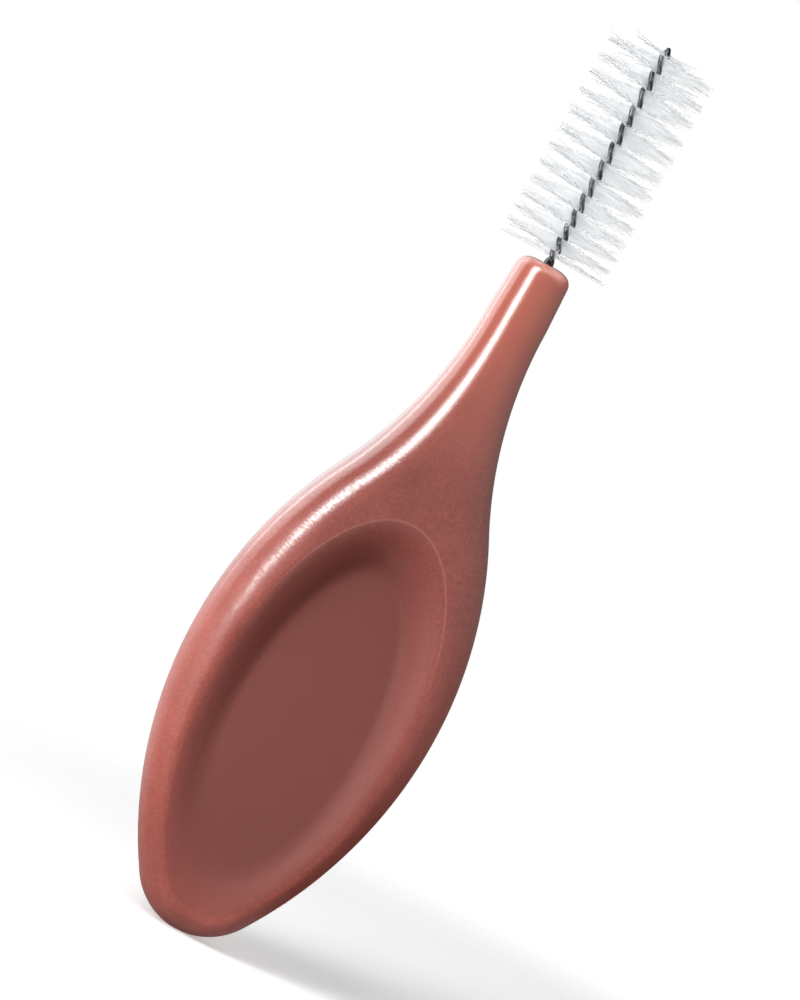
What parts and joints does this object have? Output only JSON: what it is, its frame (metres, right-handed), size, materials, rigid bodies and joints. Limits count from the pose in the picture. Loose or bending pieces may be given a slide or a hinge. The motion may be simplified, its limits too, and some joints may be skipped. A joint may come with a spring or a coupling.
{
  "type": "interdental brush",
  "caption": "Leaf-shaped moulded grip with a shallow thumb recess on each face, a flared round neck and a twisted-wire brush of fine straight filaments for cleaning between teeth.",
  "frame": {"origin": "centre of the bounding box at its base, under the tail of the handle, on the axis of the wire", "axes": "+Z from the tail to the brush tip, X across the leaf, -Y out of the front face"},
  "size_m": [0.0162, 0.007, 0.0601],
  "materials": {
    "handle_plastic": "moulded rose-brown plastic, glossy on the rounded edges and satin in the recess",
    "wire_steel": "bright drawn stainless wire",
    "bristle_nylon": "clear white nylon filament"
  },
  "bodies": {
    "root": {"handle": "handle_plastic", "twisted_wire": "wire_steel", "bristle_row_01": "bristle_nylon", "bristle_row_02": "bristle_nylon", "bristle_row_03": "bristle_nylon", "bristle_row_04": "bristle_nylon", "bristle_row_05": "bristle_nylon", "bristle_row_06": "bristle_nylon", "bristle_row_07": "bristle_nylon", "bristle_row_08": "bristle_nylon", "bristle_row_09": "bristle_nylon", "bristle_row_10": "bristle_nylon", "bristle_row_11": "bristle_nylon", "bristle_row_12": "bristle_nylon", "bristle_row_13": "bristle_nylon"}
  },
  "joints": []
}
